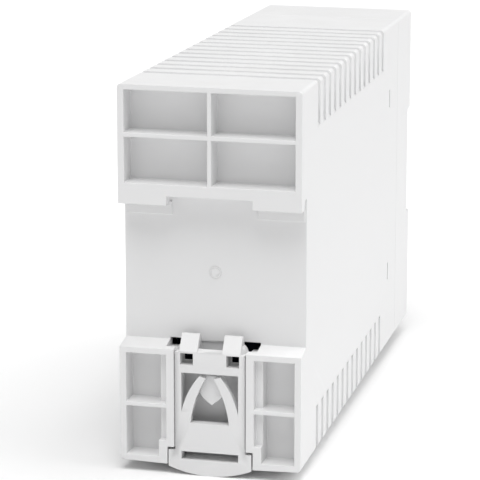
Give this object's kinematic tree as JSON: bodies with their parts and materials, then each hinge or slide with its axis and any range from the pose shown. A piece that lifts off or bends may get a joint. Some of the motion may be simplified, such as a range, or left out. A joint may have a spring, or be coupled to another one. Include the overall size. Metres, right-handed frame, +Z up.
{
  "type": "din rail power supply",
  "caption": "Slim moulded power supply that clips on a 35 mm rail, with a ribbed housing, a sprung rail foot and screw terminals.",
  "frame": {"origin": "bottom centre of the whole part: the lowest point of the rail foot, midway between the sides and between the rail end and the terminal faces", "axes": "+Z up as mounted, +Y towards the rail, -Y out of the terminal face, X across the width"},
  "size_m": [0.0436, 0.14, 0.0926],
  "materials": {
    "housing_plastic": "fine-textured moulded plastic, near white",
    "cover_plastic": "fine-textured moulded plastic, near white",
    "foot_plastic": "smooth moulded plastic, near white",
    "terminal_plastic": "moulded plastic, light grey",
    "contact_brass": "plain stamped brass",
    "screw_steel": "zinc-plated steel",
    "plated_metal": "nickel-plated metal",
    "circuit_board": "green solder mask on glass-fibre board",
    "insulating_film": "thin clear-white film",
    "ferrite": "sintered ferrite, matte dark grey",
    "choke_ferrite": "sintered ferrite, matte dark grey",
    "powder_core": "painted iron-powder core, yellow",
    "bobbin_plastic": "black moulded plastic",
    "winding_tape": "yellow insulating tape",
    "copper_wire": "enamelled copper wire",
    "can_sleeve": "dark blue shrink sleeve",
    "film_box": "moulded box, yellow",
    "film_red": "dipped coating, red brown",
    "ceramic_blue": "dipped coating, blue",
    "ceramic_dark": "dipped coating, dark green",
    "fuse_ceramic": "glazed ceramic tube",
    "black_epoxy": "moulded epoxy, black",
    "white_epoxy": "moulded epoxy, off white",
    "sink_aluminium": "bare rolled sheet",
    "trimmer_blue": "moulded plastic, blue",
    "rotor_white": "moulded plastic, white",
    "led_lens": "tinted clear lens",
    "clear_plastic": "clear moulded plastic"
  },
  "bodies": {
    "unit": {"housing": "housing_plastic", "front_cover": "cover_plastic", "output_terminal": "terminal_plastic", "input_terminal": "terminal_plastic", "output_contacts": "contact_brass", "input_contacts": "contact_brass", "main_board": "circuit_board", "insulating_sheet": "insulating_film", "transformer_core": "ferrite", "transformer_bobbin": "bobbin_plastic", "transformer_winding": "winding_tape", "bulk_capacitor": "can_sleeve", "output_capacitors": "can_sleeve", "choke_core": "choke_ferrite", "choke_windings": "copper_wire", "inductor_core": "powder_core", "inductor_winding": "copper_wire", "mains_capacitor": "film_box", "snubber_capacitor": "film_red", "safety_capacitors": "ceramic_blue", "fuse_tube": "fuse_ceramic", "fuse_caps": "plated_metal", "fuse_clips": "plated_metal", "surge_varistor": "ceramic_blue", "inrush_thermistor": "ceramic_dark", "bridge_rectifier": "black_epoxy", "primary_heatsink": "sink_aluminium", "secondary_heatsink": "sink_aluminium", "switch_transistor": "black_epoxy", "output_diode": "black_epoxy", "heatsink_screws": "screw_steel", "control_chip": "black_epoxy", "optocoupler": "white_epoxy", "chip_resistors": "black_epoxy", "trimmer_body": "trimmer_blue", "led_holder": "bobbin_plastic", "status_led": "led_lens", "light_pipe": "clear_plastic"},
    "foot": {"rail_foot": "foot_plastic"},
    "trimmer": {"trimmer_rotor": "rotor_white"},
    "out_screw_1": {"out_screw_1": "screw_steel"},
    "out_jaw_1": {"out_jaw_1": "contact_brass"},
    "out_screw_2": {"out_screw_2": "screw_steel"},
    "out_jaw_2": {"out_jaw_2": "contact_brass"},
    "out_screw_3": {"out_screw_3": "screw_steel"},
    "out_jaw_3": {"out_jaw_3": "contact_brass"},
    "out_screw_4": {"out_screw_4": "screw_steel"},
    "out_jaw_4": {"out_jaw_4": "contact_brass"},
    "in_screw_1": {"in_screw_1": "screw_steel"},
    "in_jaw_1": {"in_jaw_1": "contact_brass"},
    "in_screw_2": {"in_screw_2": "screw_steel"},
    "in_jaw_2": {"in_jaw_2": "contact_brass"},
    "in_screw_3": {"in_screw_3": "screw_steel"},
    "in_jaw_3": {"in_jaw_3": "contact_brass"}
  },
  "joints": [
    {"name": "foot_slide", "type": "slide", "parent": "unit", "child": "foot", "axis": [0, 0, -1], "range_m": [0, 0.004], "stiffness_N_per_m": 600, "springref_m": -0.004},
    {"name": "trimmer_turn", "type": "hinge", "parent": "unit", "child": "trimmer", "pos_m": [-0.01, -0.058, 0.0446], "axis": [0, 1, 0], "range_deg": [-135, 135]},
    {"name": "out_screw_turn_1", "type": "hinge", "parent": "unit", "child": "out_screw_1", "pos_m": [-0.01125, -0.064, 0.0711], "axis": [0, 1, 0], "range_deg": [0, 1080]},
    {"name": "out_jaw_slide_1", "type": "slide", "parent": "unit", "child": "out_jaw_1", "axis": [0, 0, 1], "range_m": [0, 0.0016]},
    {"name": "out_screw_turn_2", "type": "hinge", "parent": "unit", "child": "out_screw_2", "pos_m": [-0.00375, -0.064, 0.0711], "axis": [0, 1, 0], "range_deg": [0, 1080]},
    {"name": "out_jaw_slide_2", "type": "slide", "parent": "unit", "child": "out_jaw_2", "axis": [0, 0, 1], "range_m": [0, 0.0016]},
    {"name": "out_screw_turn_3", "type": "hinge", "parent": "unit", "child": "out_screw_3", "pos_m": [0.00375, -0.064, 0.0711], "axis": [0, 1, 0], "range_deg": [0, 1080]},
    {"name": "out_jaw_slide_3", "type": "slide", "parent": "unit", "child": "out_jaw_3", "axis": [0, 0, 1], "range_m": [0, 0.0016]},
    {"name": "out_screw_turn_4", "type": "hinge", "parent": "unit", "child": "out_screw_4", "pos_m": [0.01125, -0.064, 0.0711], "axis": [0, 1, 0], "range_deg": [0, 1080]},
    {"name": "out_jaw_slide_4", "type": "slide", "parent": "unit", "child": "out_jaw_4", "axis": [0, 0, 1], "range_m": [0, 0.0016]},
    {"name": "in_screw_turn_1", "type": "hinge", "parent": "unit", "child": "in_screw_1", "pos_m": [-0.01125, -0.064, 0.0266], "axis": [0, 1, 0], "range_deg": [0, 1080]},
    {"name": "in_jaw_slide_1", "type": "slide", "parent": "unit", "child": "in_jaw_1", "axis": [0, 0, -1], "range_m": [0, 0.0016]},
    {"name": "in_screw_turn_2", "type": "hinge", "parent": "unit", "child": "in_screw_2", "pos_m": [-0.00375, -0.064, 0.0266], "axis": [0, 1, 0], "range_deg": [0, 1080]},
    {"name": "in_jaw_slide_2", "type": "slide", "parent": "unit", "child": "in_jaw_2", "axis": [0, 0, -1], "range_m": [0, 0.0016]},
    {"name": "in_screw_turn_3", "type": "hinge", "parent": "unit", "child": "in_screw_3", "pos_m": [0.00375, -0.064, 0.0266], "axis": [0, 1, 0], "range_deg": [0, 1080]},
    {"name": "in_jaw_slide_3", "type": "slide", "parent": "unit", "child": "in_jaw_3", "axis": [0, 0, -1], "range_m": [0, 0.0016]}
  ],
  "couplings": [
    {"joint": "out_screw_turn_1", "follows": "out_jaw_slide_1", "rad_per_m": 11781},
    {"joint": "out_screw_turn_2", "follows": "out_jaw_slide_2", "rad_per_m": 11781},
    {"joint": "out_screw_turn_3", "follows": "out_jaw_slide_3", "rad_per_m": 11781},
    {"joint": "out_screw_turn_4", "follows": "out_jaw_slide_4", "rad_per_m": 11781},
    {"joint": "in_screw_turn_1", "follows": "in_jaw_slide_1", "rad_per_m": 11781},
    {"joint": "in_screw_turn_2", "follows": "in_jaw_slide_2", "rad_per_m": 11781},
    {"joint": "in_screw_turn_3", "follows": "in_jaw_slide_3", "rad_per_m": 11781}
  ]
}
